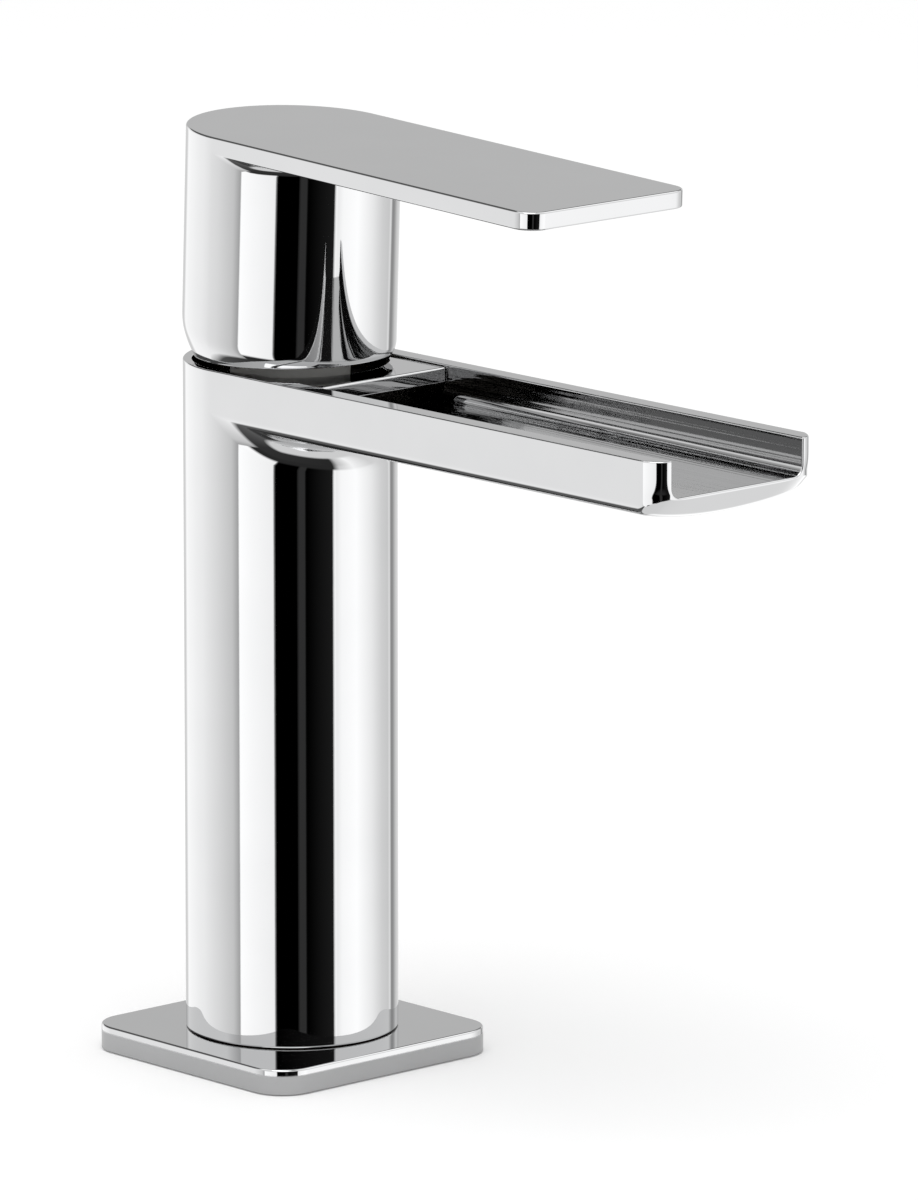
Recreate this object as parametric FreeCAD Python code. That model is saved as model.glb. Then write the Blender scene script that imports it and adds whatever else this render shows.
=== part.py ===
import FreeCAD, Part
import math
import os

from FreeCAD import Vector

# Single-lever basin tap with an open trough spout, in millimetres and degrees.
# +Z is up, the spout points to -Y, and the origin is the middle of the base plate's underside.

# Base plate and its seals
plate_side = 55.0
plate_thickness = 4.8
plate_corner_radius = 7.0
plate_edge_radius = 0.4
gasket_width = 2.8
gasket_thickness = 1.5
plate_seal_wire_radius = 0.5

# Column
column_radius = 20.0
rim_z = 132.5
rim_wall = 1.7
recess_depth = 6.0
foot_edge_radius = 0.5
foot_ledge = 2.8
spigot_wall = 1.4
hollow_top_z = 58.0

# Threads at the top of the column's hollow, drawn at their minor radius
inlet_thread_radius = 4.46
inlet_thread_depth = 12.0
inlet_x = 6.2
inlet_y = -3.0
stud_thread_radius = 3.32
stud_thread_depth = 16.0
stud_y = 9.5

# Spout, with the column's width
spout_reach = 120.4
spout_depth = 12.3
spout_wall = 3.9
spout_corner_radius = 4.0
underside_crown = 2.4
underside_corner_radius = 2.4
lip_height = 0.5
chin_run = 8.0
root_fillet_radius = 6.8
trough_depth = 7.0
trough_fall = 0.6
trough_corner_radius = 2.0

# Cover over the back of the trough
deck_reach = 25.5
deck_thickness = 2.8
deck_sink = 0.4
deck_edge_radius = 0.4
deck_seal_thickness = 0.5

# Water way from the cartridge to the trough
duct_radius = 16.5
duct_width = 2.4
duct_half_angle = 35.0
duct_drop = 7.0
duct_roof = 1.2
cross_bore_radius = 1.9
cross_bore_rise = 2.5
mouth_reach = 24.0
mouth_half_width = 9.0
mouth_height = 3.5
mouth_step = 1.5

# Cartridge
seat_depth = 16.0
cartridge_radius = 12.5
cup_radius = 11.0
neck_radius = 11.2
neck_bore_radius = 10.0
housing_step = 1.0
housing_rise = 7.5
housing_lip = 1.5
base_thickness = 4.0
port_radius = 2.0
inlet_port_x = 4.6
inlet_port_y = -2.2
outlet_port_y = 4.8
port_seal_radius = 2.9
port_seal_width = 0.8
port_seal_thickness = 1.0
peg_radius = 1.4
peg_length = 2.5
peg_x = 8.6
peg_y = -5.2
fixed_disc_radius = 10.8
fixed_disc_thickness = 3.4
moving_disc_radius = 8.9
moving_disc_thickness = 3.0
mixing_pocket_depth = 1.5
mixing_pocket_front = 6.4
mixing_pocket_back = 3.0
mixing_pocket_length = 8.0
carrier_flange = 2.5
carrier_head_room = 0.6
carrier_half_width = 4.4
carrier_half_length = 4.2
carrier_peg_radius = 1.0
carrier_peg_length = 1.0

# Retaining nut
nut_radius = 14.0
nut_thread_length = 8.0
nut_skirt = 5.5
nut_lip = 2.0
nut_slot_count = 6
nut_slot_width = 3.0
nut_slot_depth = 1.2

# Rotor, stop ring, pin and spindle
pivot_rise = 10.5
rest_pitch = 2.16
lift_angle = 20.0
swing_angle = 45.0
rotor_drop = 7.0
rotor_neck_radius = 8.7
rotor_glide_thickness = 1.0
rotor_rise = 1.5
rotor_slot_half_length = 7.2
prong_grip = 6.9
prong_width = 3.0
prong_half_length = 4.5
stop_ring_radius = 11.2
stop_ring_thickness = 1.8
stop_lug_depth = 1.4
stop_lug_half_angle = 7.0
stop_slack_angle = 1.4
pin_radius = 1.5
spindle_side = 7.0
spindle_over_screw = 6.5
spindle_square_drop = 4.5
spindle_arm = 10.0
finger_radius = 1.3
ball_radius = 1.9

# Handle
lever_reach = 86.0
lever_rise = 33.3
lever_thickness = 3.4
lever_corner_radius = 4.0
lever_edge_radius = 0.4
block_front_gap = 2.1
block_back_dip = 0.3
block_lower_edge = 0.9
block_wall = 3.0
block_ceiling_gap = 4.2
block_relief_offset = 0.8
block_relief_margin = 0.02
boss_radius = 8.5
boss_rib_half_width = 5.0
socket_end = 1.0
handle_screw_rise = 5.5
handle_screw_radius = 2.45
handle_screw_length = 6.0
hex_key_sides = 6
hex_key_radius = 1.4
hex_key_depth = 2.5
screw_cap_radius = 3.1
screw_cap_length = 4.0

# Clearances, how far a cut runs past the face that it opens, and how closely an edge is looked up
seat_gap = 0.1
running_gap = 0.05
film_gap = 0.02
cut_overrun = 1.0
lookup_tolerance = 0.02

# Levels and places worked out from the sizes above
spigot_radius = column_radius - foot_ledge
hollow_radius = spigot_radius - spigot_wall
plate_hole_radius = spigot_radius + seat_gap
plate_seal_radius = spigot_radius + foot_ledge / 2
gasket_inner = (plate_hole_radius + plate_side / 2 - gasket_width) / 2
gasket_outer = gasket_inner + gasket_width
recess_radius = column_radius - rim_wall
recess_floor_z = rim_z - recess_depth
underside_z = rim_z - spout_depth
trough_half_width = column_radius - spout_wall
trough_floor_z = rim_z - trough_depth
deck_top_z = rim_z - deck_sink
deck_bottom_z = deck_top_z - deck_thickness
shelf_z = deck_bottom_z - deck_seal_thickness
deck_root_y = -math.sqrt(recess_radius ** 2 - trough_half_width ** 2)
seat_z = recess_floor_z - seat_depth
duct_bottom_z = seat_z - duct_drop
base_top_z = seat_z + base_thickness
film_z = base_top_z + fixed_disc_thickness
moving_disc_z = film_z + film_gap
carrier_z = moving_disc_z + moving_disc_thickness
flange_top_z = carrier_z + carrier_flange
cup_top_z = flange_top_z + carrier_head_room
shoulder_z = cup_top_z + housing_step
pivot_z = rim_z + pivot_rise
housing_top_z = pivot_z + housing_rise
lip_bottom_z = housing_top_z - housing_lip
rotor_radius = neck_bore_radius - running_gap
rotor_bottom_z = pivot_z - rotor_drop
rotor_shoulder_z = lip_bottom_z - rotor_glide_thickness - film_gap
rotor_top_z = housing_top_z + rotor_rise
ball_z = pivot_z - spindle_arm
pitch = math.radians(rest_pitch)
lift = math.radians(lift_angle)
ball_rest_y = spindle_arm * math.sin(pitch)
disc_travel = ball_rest_y - spindle_arm * math.sin(pitch - lift)
disc_rest_y = disc_travel / 2
ball_rest_z = pivot_z - spindle_arm * math.cos(pitch)
carrier_top_z = ball_rest_z + ball_radius
prong_bottom_z = carrier_top_z - prong_grip
boss_reach = column_radius - block_wall
lever_top_z = pivot_z + lever_rise
block_front_z = rim_z + block_front_gap
block_back_z = rim_z - block_back_dip
block_ceiling_z = housing_top_z + stop_ring_thickness + block_ceiling_gap
handle_screw_z = block_ceiling_z + handle_screw_rise
spindle_top_z = handle_screw_z + spindle_over_screw
PORTS = [(-inlet_port_x, inlet_port_y), (inlet_port_x, inlet_port_y), (0, outlet_port_y)]
UP = Vector(0, 0, 1)


def rod(radius, z_low, z_high, x=0, y=0):
    """Upright cylinder between two levels."""
    return Part.makeCylinder(radius, z_high - z_low, Vector(x, y, z_low))


def ring(inner, outer, z_low, z_high, x=0, y=0):
    """Upright tube between two levels."""
    bore = rod(inner, z_low - cut_overrun, z_high + cut_overrun, x, y)
    return rod(outer, z_low, z_high, x, y).cut(bore)


def block(x_low, x_high, y_low, y_high, z_low, z_high):
    """Box between two corners."""
    return Part.makeBox(x_high - x_low, y_high - y_low, z_high - z_low, Vector(x_low, y_low, z_low))


def sector(inner, outer, z_low, z_high, half_angle):
    """Part of a tube, half_angle to each side of the front."""
    wedge = Part.makeCylinder(outer, z_high - z_low, Vector(0, 0, z_low), UP, 2 * half_angle)
    wedge.rotate(Vector(0, 0, 0), UP, -90 - half_angle)
    return wedge.cut(rod(inner, z_low - cut_overrun, z_high + cut_overrun))


def side_prism(points, half_width):
    """Outline of (y, z) points, carried across the width."""
    corners = [Vector(-half_width, y, z) for y, z in points]
    outline = Part.makePolygon(corners + corners[:1])
    return Part.Face(outline).extrude(Vector(2 * half_width, 0, 0))


def tube_between(radius, start, end):
    """Round bore from one point to another."""
    way = end.sub(start)
    return Part.makeCylinder(radius, way.Length, start, way)


def joined(first, *others):
    """One solid out of touching pieces, with split faces made whole again."""
    return first.fuse(list(others)).removeSplitter()


def edges_where(shape, test):
    """Edges whose middle passes the test."""
    return [edge for edge in shape.Edges if test(edge.CenterOfMass)]


def near(value, target):
    """True where a place lies on a level."""
    return abs(value - target) < lookup_tolerance


def tongue_face(half_width, reach, corner_radius, z):
    """Flat outline: a half circle behind, straight sides and a front with two rounded corners."""
    shift = corner_radius * math.sqrt(2) / 2
    corner_x = half_width - corner_radius
    corner_y = -reach + corner_radius
    left = Vector(-half_width, 0, z)
    right = Vector(half_width, 0, z)
    left_side = Vector(-half_width, corner_y, z)
    left_mid = Vector(-corner_x - shift, corner_y - shift, z)
    left_front = Vector(-corner_x, -reach, z)
    right_side = Vector(half_width, corner_y, z)
    right_mid = Vector(corner_x + shift, corner_y - shift, z)
    right_front = Vector(corner_x, -reach, z)
    edges = [
        Part.Arc(right, Vector(0, half_width, z), left),
        Part.LineSegment(left, left_side),
        Part.Arc(left_side, left_mid, left_front),
        Part.LineSegment(left_front, right_front),
        Part.Arc(right_front, right_mid, right_side),
        Part.LineSegment(right_side, right),
    ]
    return Part.Face(Part.Wire([edge.toShape() for edge in edges]))


def spout_section():
    """Cross outline of the spout: upright sides, small lower corners and a crowned underside."""
    crown_radius = (column_radius ** 2 + underside_crown ** 2) / (2 * underside_crown)
    crown_middle = Vector(0, 0, underside_z + crown_radius)
    corner_x = column_radius - underside_corner_radius
    corner_drop = math.sqrt((crown_radius - underside_corner_radius) ** 2 - corner_x ** 2)
    corner_middle = Vector(corner_x, 0, crown_middle.z - corner_drop)
    outward = corner_middle.sub(crown_middle)
    outward.normalize()
    between = outward.add(Vector(1, 0, 0))
    between.normalize()
    top = Vector(column_radius, 0, rim_z)
    side = Vector(column_radius, 0, corner_middle.z)
    mid = corner_middle.add(between * underside_corner_radius)
    under = crown_middle.add(outward * crown_radius)
    lowest = Vector(0, 0, underside_z)

    def mirrored(point):
        return Vector(-point.x, point.y, point.z)

    edges = [
        Part.LineSegment(top, side),
        Part.Arc(side, mid, under),
        Part.Arc(under, lowest, mirrored(under)),
        Part.Arc(mirrored(under), mirrored(mid), mirrored(side)),
        Part.LineSegment(mirrored(side), mirrored(top)),
        Part.LineSegment(mirrored(top), top),
    ]
    return Part.Face(Part.Wire([edge.toShape() for edge in edges]))


def spout_side():
    """Side outline of the spout: a short upright lip, then a round chin that runs back to the underside."""
    chin_height = trough_floor_z - lip_height - underside_z
    chin_radius = (chin_run ** 2 + chin_height ** 2) / (2 * chin_height)
    half_turn = math.asin(chin_run / chin_radius) / 2
    chin_end_y = -spout_reach + chin_run
    chin_mid_y = chin_end_y - chin_radius * math.sin(half_turn)
    chin_mid_z = underside_z + chin_radius * (1 - math.cos(half_turn))
    half = column_radius + cut_overrun
    top_back = Vector(-half, 0, rim_z)
    top_front = Vector(-half, -spout_reach, rim_z)
    chin_top = Vector(-half, -spout_reach, underside_z + chin_height)
    chin_mid = Vector(-half, chin_mid_y, chin_mid_z)
    chin_end = Vector(-half, chin_end_y, underside_z)
    low_back = Vector(-half, 0, underside_z)
    edges = [
        Part.LineSegment(top_back, top_front),
        Part.LineSegment(top_front, chin_top),
        Part.Arc(chin_top, chin_mid, chin_end),
        Part.LineSegment(chin_end, low_back),
        Part.LineSegment(low_back, top_back),
    ]
    face = Part.Face(Part.Wire([edge.toShape() for edge in edges]))
    return face.extrude(Vector(2 * half, 0, 0))


def spout_blank():
    """Spout without its trough: what the three outlines have in common."""
    across = spout_section().extrude(Vector(0, -spout_reach, 0))
    plan = tongue_face(column_radius, spout_reach, spout_corner_radius, underside_z - cut_overrun)
    plan_solid = plan.extrude(Vector(0, 0, spout_depth + 2 * cut_overrun))
    return across.common(plan_solid).common(spout_side())


def trough_cut():
    """Open channel with a floor that falls to the lip and rounded lower corners."""
    run = spout_reach - column_radius
    beyond = trough_fall * cut_overrun / run
    front_y = -spout_reach - cut_overrun
    outline = [
        (-column_radius, trough_floor_z + trough_fall),
        (front_y, trough_floor_z - beyond),
        (front_y, rim_z + cut_overrun),
        (-column_radius, rim_z + cut_overrun),
    ]
    channel = side_prism(outline, trough_half_width)
    middle_z = trough_floor_z + trough_fall

    def lower_corner(place):
        on_wall = near(abs(place.x), trough_half_width)
        return on_wall and place.z < middle_z and place.y < -column_radius - lookup_tolerance

    return channel.makeFillet(trough_corner_radius, edges_where(channel, lower_corner))


def water_way():
    """Outlet port, cross bore, rising duct in the column's front and its mouth under the cover."""
    bore_z = duct_bottom_z + cross_bore_rise
    roof_z = recess_floor_z - duct_roof
    port = rod(port_radius, bore_z, seat_z + cut_overrun, 0, outlet_port_y)
    outlet = Vector(0, outlet_port_y, bore_z)
    cross = tube_between(cross_bore_radius, outlet, Vector(0, -duct_radius, bore_z))
    duct_inner = duct_radius - duct_width / 2
    duct = sector(duct_inner, duct_inner + duct_width, duct_bottom_z, roof_z, duct_half_angle)
    mouth = [
        (-duct_radius, roof_z),
        (-column_radius, roof_z),
        (-column_radius, trough_floor_z + cut_overrun),
        (-mouth_reach, trough_floor_z + cut_overrun),
        (-mouth_reach, trough_floor_z - mouth_step),
        (-duct_radius, roof_z - mouth_height),
    ]
    return [port, cross, duct, side_prism(mouth, mouth_half_width)]


def inlet_ways():
    """Two threaded inlets, the bores that lead from them to the cartridge, and the stud's thread."""
    cuts = []
    thread_top_z = hollow_top_z + inlet_thread_depth
    for side in (-1, 1):
        mouth = Vector(side * inlet_x, inlet_y, thread_top_z)
        port = Vector(side * inlet_port_x, inlet_port_y, seat_z)
        past = port.sub(mouth) * (cut_overrun / (seat_z - thread_top_z))
        cuts.append(rod(inlet_thread_radius, hollow_top_z - cut_overrun, thread_top_z, mouth.x, mouth.y))
        cuts.append(tube_between(port_radius, mouth.sub(past), port.add(past)))
    stud_top_z = hollow_top_z + stud_thread_depth
    cuts.append(rod(stud_thread_radius, hollow_top_z - cut_overrun, stud_top_z, 0, stud_y))
    return cuts


def peg_rods(radius, z_low, z_high):
    """The pair of locating pegs under the cartridge, or their holes."""
    return [rod(radius, z_low, z_high, side * peg_x, peg_y) for side in (-1, 1)]


def tap_body():
    """Column and spout in one casting, with its recess, cartridge seat and water ways."""
    column = rod(column_radius, plate_thickness, rim_z)
    blank = column.fuse(spout_blank())

    def root_edge(place):
        in_front = -column_radius < place.y < -column_radius / 2
        return in_front and underside_z < place.z < underside_z + underside_crown

    blank = blank.makeFillet(root_fillet_radius, edges_where(blank, root_edge))

    def foot_edge(place):
        return near(place.z, plate_thickness)

    blank = blank.makeFillet(foot_edge_radius, edges_where(blank, foot_edge))
    spigot = rod(spigot_radius, 0, plate_thickness + cut_overrun)
    groove_inner = plate_seal_radius - plate_seal_wire_radius - seat_gap
    groove_outer = plate_seal_radius + plate_seal_wire_radius + seat_gap
    groove_top_z = plate_thickness + 2 * plate_seal_wire_radius
    thread_z = recess_floor_z - nut_thread_length
    deck_seat_y = deck_root_y + cut_overrun
    deck_seat = block(-trough_half_width, trough_half_width, -column_radius - cut_overrun, deck_seat_y,
                      shelf_z, rim_z + cut_overrun)
    cuts = [
        rod(hollow_radius, -cut_overrun, hollow_top_z),
        ring(groove_inner, groove_outer, plate_thickness - cut_overrun, groove_top_z),
        rod(recess_radius, recess_floor_z, rim_z + cut_overrun),
        rod(nut_radius, thread_z, recess_floor_z + cut_overrun),
        rod(cartridge_radius + seat_gap, seat_z, thread_z + cut_overrun),
        trough_cut(),
        deck_seat,
    ]
    cuts += water_way()
    cuts += inlet_ways()
    cuts += peg_rods(peg_radius + seat_gap, seat_z - peg_length - seat_gap, seat_z + cut_overrun)
    return blank.fuse(spigot).cut(cuts).removeSplitter()


def base_plate():
    """Square plate with round corners, a hole for the column's spigot and a groove for the gasket."""
    half = plate_side / 2
    plate = block(-half, half, -half, half, 0, plate_thickness)
    corner = half - plate_corner_radius

    def upright(place):
        return abs(place.x) > corner and abs(place.y) > corner and near(place.z, plate_thickness / 2)

    def top_edge(place):
        return near(place.z, plate_thickness)

    plate = plate.makeFillet(plate_corner_radius, edges_where(plate, upright))
    plate = plate.makeFillet(plate_edge_radius, edges_where(plate, top_edge))
    hole = rod(plate_hole_radius, -cut_overrun, plate_thickness + cut_overrun)
    groove = ring(gasket_inner, gasket_outer, -cut_overrun, gasket_thickness)
    return plate.cut([hole, groove])


def base_gasket():
    """Soft ring in the plate's underside."""
    return ring(gasket_inner + seat_gap, gasket_outer - seat_gap, 0, gasket_thickness)


def plate_seal():
    """O-ring in the groove of the column's foot."""
    wire = plate_seal_wire_radius - film_gap
    return Part.makeTorus(plate_seal_radius, wire, Vector(0, 0, plate_thickness + plate_seal_wire_radius))


def deck_outline(y_front, z_low, z_high):
    """Slab between the spout's walls, hollowed behind to follow the recess."""
    half = trough_half_width - running_gap
    slab = block(-half, half, y_front, deck_root_y, z_low, z_high)
    return slab.cut(rod(recess_radius + seat_gap, z_low - cut_overrun, z_high + cut_overrun))


def spout_deck():
    """Cover over the back of the trough, with a softened front edge."""
    slab = deck_outline(-deck_reach, deck_bottom_z, deck_top_z)

    def front_edge(place):
        return near(place.y, -deck_reach) and near(place.z, deck_top_z)

    return slab.makeFillet(deck_edge_radius, edges_where(slab, front_edge))


def deck_seal():
    """Thin gasket between the cover and its shelf."""
    return deck_outline(-column_radius, shelf_z, deck_bottom_z)


def port_rings(z_low):
    """Three small sealing rings round the ports, on one level."""
    inner = port_seal_radius - port_seal_width / 2
    outer = inner + port_seal_width
    z_high = z_low + port_seal_thickness
    return Part.makeCompound([ring(inner, outer, z_low, z_high, x, y) for x, y in PORTS])


def port_grooves(z_low):
    """Grooves for the sealing rings, cut a little wider than the rings."""
    inner = port_seal_radius - port_seal_width / 2 - running_gap
    outer = port_seal_radius + port_seal_width / 2 + running_gap
    return [ring(inner, outer, z_low, z_low + port_seal_thickness, x, y) for x, y in PORTS]


def port_bores(z_low, z_high):
    """Bores through the three ports."""
    return [rod(port_radius, z_low - cut_overrun, z_high + cut_overrun, x, y) for x, y in PORTS]


def cartridge_base():
    """Foot of the cartridge, with ports, ring grooves on both faces and two pegs."""
    disc = rod(cartridge_radius, seat_z, base_top_z)
    pegs = peg_rods(peg_radius, seat_z - peg_length, seat_z + base_thickness / 2)
    grooves = port_grooves(seat_z) + port_grooves(base_top_z - port_seal_thickness)
    cuts = port_bores(seat_z, base_top_z) + grooves
    return joined(disc, *pegs).cut(cuts)


def base_seals():
    """Sealing rings between the cartridge and its seat in the body."""
    return port_rings(seat_z)


def disc_seals():
    """Sealing rings between the cartridge's foot and the fixed disc."""
    return port_rings(base_top_z - port_seal_thickness)


def fixed_disc():
    """Ceramic disc with the three ports."""
    return rod(fixed_disc_radius, base_top_z, film_z).cut(port_bores(base_top_z, film_z))


def carrier_pegs(radius, z_low, z_high):
    """Two pegs that make the moving disc follow its carrier, or their holes."""
    reach = moving_disc_radius - 2 * carrier_peg_radius
    return [rod(radius, z_low, z_high, side * reach, disc_rest_y) for side in (-1, 1)]


def moving_disc():
    """Ceramic disc with a blind mixing pocket in its lower face, behind the inlet ports when closed."""
    disc = rod(moving_disc_radius, moving_disc_z, carrier_z, 0, disc_rest_y)
    front_y = inlet_port_y + port_radius + 2 * seat_gap
    back_y = front_y + mixing_pocket_length
    low_z = moving_disc_z - cut_overrun
    corners = [
        Vector(-mixing_pocket_front, front_y, low_z),
        Vector(mixing_pocket_front, front_y, low_z),
        Vector(mixing_pocket_back, back_y, low_z),
        Vector(-mixing_pocket_back, back_y, low_z),
    ]
    outline = Part.makePolygon(corners + corners[:1])
    pocket = Part.Face(outline).extrude(UP * (mixing_pocket_depth + cut_overrun))
    holes = carrier_pegs(carrier_peg_radius + running_gap, carrier_z - carrier_peg_length - film_gap,
                         carrier_z + cut_overrun)
    return disc.cut([pocket] + holes)


def disc_carrier():
    """Flange on the moving disc, with a block above whose round pocket takes the spindle's ball."""
    flange = rod(moving_disc_radius, carrier_z, flange_top_z, 0, disc_rest_y)
    head = block(-carrier_half_width, carrier_half_width, disc_rest_y - carrier_half_length,
                 disc_rest_y + carrier_half_length, flange_top_z - cut_overrun, carrier_top_z)
    pegs = carrier_pegs(carrier_peg_radius, carrier_z - carrier_peg_length, carrier_z + carrier_flange / 2)
    pocket_z = ball_rest_z - ball_radius - cut_overrun
    pocket = rod(ball_radius + seat_gap, pocket_z, carrier_top_z + cut_overrun, 0, ball_rest_y)
    return joined(flange, head, *pegs).cut(pocket)


def cartridge_housing():
    """Stepped sleeve: a wide cup over the discs, a narrow neck round the rotor and an inward lip on top."""
    sleeve = rod(neck_radius, shoulder_z, housing_top_z)
    shell = joined(rod(cartridge_radius, base_top_z, shoulder_z), sleeve)
    cup = rod(cup_radius, base_top_z - cut_overrun, cup_top_z)
    neck = rod(neck_bore_radius, cup_top_z - cut_overrun, lip_bottom_z)
    mouth = rod(rotor_neck_radius + running_gap, lip_bottom_z - cut_overrun, housing_top_z + cut_overrun)
    return shell.cut([cup, neck, mouth])


def rotor():
    """Turning sleeve with a slot for the spindle, a cross bore for the pin, two prongs and a stop lug."""
    barrel = rod(rotor_radius, rotor_bottom_z, rotor_shoulder_z)
    neck = rod(rotor_neck_radius, rotor_shoulder_z - cut_overrun, rotor_top_z)
    lug_z = housing_top_z + film_gap
    lug = sector(rotor_neck_radius - cut_overrun, rotor_neck_radius + stop_lug_depth, lug_z, rotor_top_z,
                 stop_lug_half_angle)
    inner = carrier_half_width + seat_gap
    prongs = []
    for side in (-1, 1):
        near_x = side * inner
        far_x = side * (inner + prong_width)
        prongs.append(block(min(near_x, far_x), max(near_x, far_x), -prong_half_length, prong_half_length,
                            prong_bottom_z, rotor_bottom_z + cut_overrun))
    slot_half = spindle_side / 2 + seat_gap
    slot = block(-slot_half, slot_half, -rotor_slot_half_length, rotor_slot_half_length,
                 rotor_bottom_z - cut_overrun, rotor_top_z + cut_overrun)
    reach = Vector(rotor_radius + cut_overrun, 0, pivot_z)
    bore = tube_between(pin_radius + film_gap, Vector(-reach.x, 0, pivot_z), reach)
    return joined(barrel, neck, lug, *prongs).cut([slot, bore])


def rotor_glide():
    """Flat glide ring on the rotor's shoulder, under the housing's lip."""
    return ring(rotor_neck_radius + running_gap, rotor_radius - running_gap, rotor_shoulder_z,
                lip_bottom_z - film_gap)


def stop_ring():
    """Ring on the housing, with a window that lets the rotor's lug swing to both sides."""
    hoop = ring(rotor_neck_radius + running_gap, stop_ring_radius, housing_top_z,
                housing_top_z + stop_ring_thickness)
    window = sector(rotor_neck_radius - cut_overrun, rotor_neck_radius + stop_lug_depth + seat_gap,
                    housing_top_z - cut_overrun, housing_top_z + stop_ring_thickness + cut_overrun,
                    swing_angle + stop_lug_half_angle + stop_slack_angle)
    return hoop.cut(window)


def pivot_pin():
    """Cross pin through the rotor and the spindle."""
    half = rotor_radius - 2 * seat_gap
    return tube_between(pin_radius, Vector(-half, 0, pivot_z), Vector(half, 0, pivot_z))


def retaining_nut():
    """Threaded skirt round the housing and a slotted lip that presses on its shoulder."""
    outer = nut_radius - running_gap
    skirt = ring(cartridge_radius + seat_gap, outer, shoulder_z - nut_skirt, shoulder_z)
    lip = ring(neck_radius + seat_gap, outer, shoulder_z, shoulder_z + nut_lip)
    nut = joined(skirt, lip)
    slots = []
    for index in range(nut_slot_count):
        slot = block(-nut_slot_width / 2, nut_slot_width / 2, outer - nut_slot_depth, outer + cut_overrun,
                     shoulder_z + nut_lip / 2, shoulder_z + nut_lip + cut_overrun)
        slot.rotate(Vector(0, 0, 0), UP, 360 * index / nut_slot_count)
        slots.append(slot)
    return nut.cut(slots)


def pitched(shape):
    """A piece of the lever, tipped forward with it about the pin."""
    turned = shape.copy()
    turned.rotate(Vector(0, 0, pivot_z), Vector(1, 0, 0), rest_pitch)
    return turned


def spindle():
    """Square stem with a pin bore, a slim finger below and a ball at its end."""
    half = spindle_side / 2
    square = block(-half, half, -half, half, pivot_z - spindle_square_drop, spindle_top_z)
    finger = rod(finger_radius, ball_z, pivot_z - spindle_square_drop + cut_overrun)
    ball = Part.makeSphere(ball_radius, Vector(0, 0, ball_z))
    bore = tube_between(pin_radius + running_gap, Vector(-half - cut_overrun, 0, pivot_z),
                        Vector(half + cut_overrun, 0, pivot_z))
    return pitched(joined(square, finger, ball).cut(bore))


def lever_plate():
    """Flat lever with softened edges above and below."""
    under_z = lever_top_z - lever_thickness
    outline = tongue_face(column_radius, lever_reach, lever_corner_radius, under_z)
    plate = outline.extrude(UP * lever_thickness)

    def outline_edge(place):
        return near(place.z, lever_top_z) or near(place.z, under_z)

    return plate.makeFillet(lever_edge_radius, edges_where(plate, outline_edge))


def relief_ball(inset):
    """Ball about the pin, a little in front of it, that rounds the back of the block's lower end."""
    radius = column_radius + block_relief_offset + block_relief_margin
    return Part.makeSphere(radius - inset, Vector(0, -block_relief_offset, pivot_z))


def below_block():
    """Space under the block's slanted lower end."""
    slope = (block_back_z - block_front_z) / (2 * column_radius)
    run = cut_overrun * slope
    floor_z = block_back_z - column_radius
    reach = column_radius + cut_overrun
    slant = [(-reach, block_front_z - run), (reach, block_back_z + run)]
    outline = slant + [(reach, floor_z), (-reach, floor_z)]
    return side_prism(outline, reach)


def handle_outside():
    """Round block, relieved behind so that it can tip into the rim, with the lever plate on top."""
    upper = rod(column_radius, pivot_z, lever_top_z - lever_edge_radius)
    lower = rod(column_radius, block_back_z - cut_overrun, pivot_z).common(relief_ball(0))
    return joined(lower.cut(below_block()), upper, lever_plate())


def handle():
    """Lever and block in one casting, hollow from below, with a square socket and a cross thread."""
    half = spindle_side / 2 + running_gap
    mouth = rod(boss_reach, block_back_z - cut_overrun, pivot_z).common(relief_ball(block_lower_edge))
    hollow = rod(boss_reach, pivot_z, block_ceiling_z)
    boss = rod(boss_radius, block_ceiling_z, spindle_top_z)
    rib = block(-boss_rib_half_width, boss_rib_half_width, 0, column_radius,
                block_ceiling_z, spindle_top_z)
    pocket = rod(boss_reach, block_ceiling_z - cut_overrun, spindle_top_z).cut([boss, rib])
    socket = block(-half, half, -half, half, block_ceiling_z - cut_overrun, spindle_top_z + socket_end)
    thread = tube_between(handle_screw_radius + running_gap, Vector(0, 0, handle_screw_z),
                          Vector(0, column_radius, handle_screw_z))
    cap_start = column_radius - screw_cap_length
    access = tube_between(screw_cap_radius + running_gap, Vector(0, cap_start, handle_screw_z),
                          Vector(0, column_radius + cut_overrun, handle_screw_z))
    return pitched(handle_outside().cut([mouth, hollow, pocket, socket, thread, access]))


def handle_screw():
    """Set screw from behind onto the spindle's flat, with a six-sided key socket."""
    start_y = spindle_side / 2 + film_gap
    end_y = start_y + handle_screw_length
    start = Vector(0, start_y, handle_screw_z)
    body = tube_between(handle_screw_radius, start, Vector(0, end_y, handle_screw_z))
    corners = []
    for index in range(hex_key_sides + 1):
        angle = math.radians(360 * index / hex_key_sides)
        offset = Vector(math.cos(angle), 0, math.sin(angle)) * hex_key_radius
        corners.append(Vector(0, end_y - hex_key_depth, handle_screw_z).add(offset))
    key = Part.Face(Part.makePolygon(corners)).extrude(Vector(0, hex_key_depth + cut_overrun, 0))
    return pitched(body.cut(key))


def screw_cap():
    """Plug that closes the screw's way in, flush with the block."""
    start = Vector(0, column_radius - screw_cap_length + film_gap, handle_screw_z)
    plug = tube_between(screw_cap_radius, start, Vector(0, column_radius + cut_overrun, handle_screw_z))
    flush = rod(column_radius, handle_screw_z - 2 * screw_cap_radius, handle_screw_z + 2 * screw_cap_radius)
    return pitched(plug.common(flush))


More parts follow.
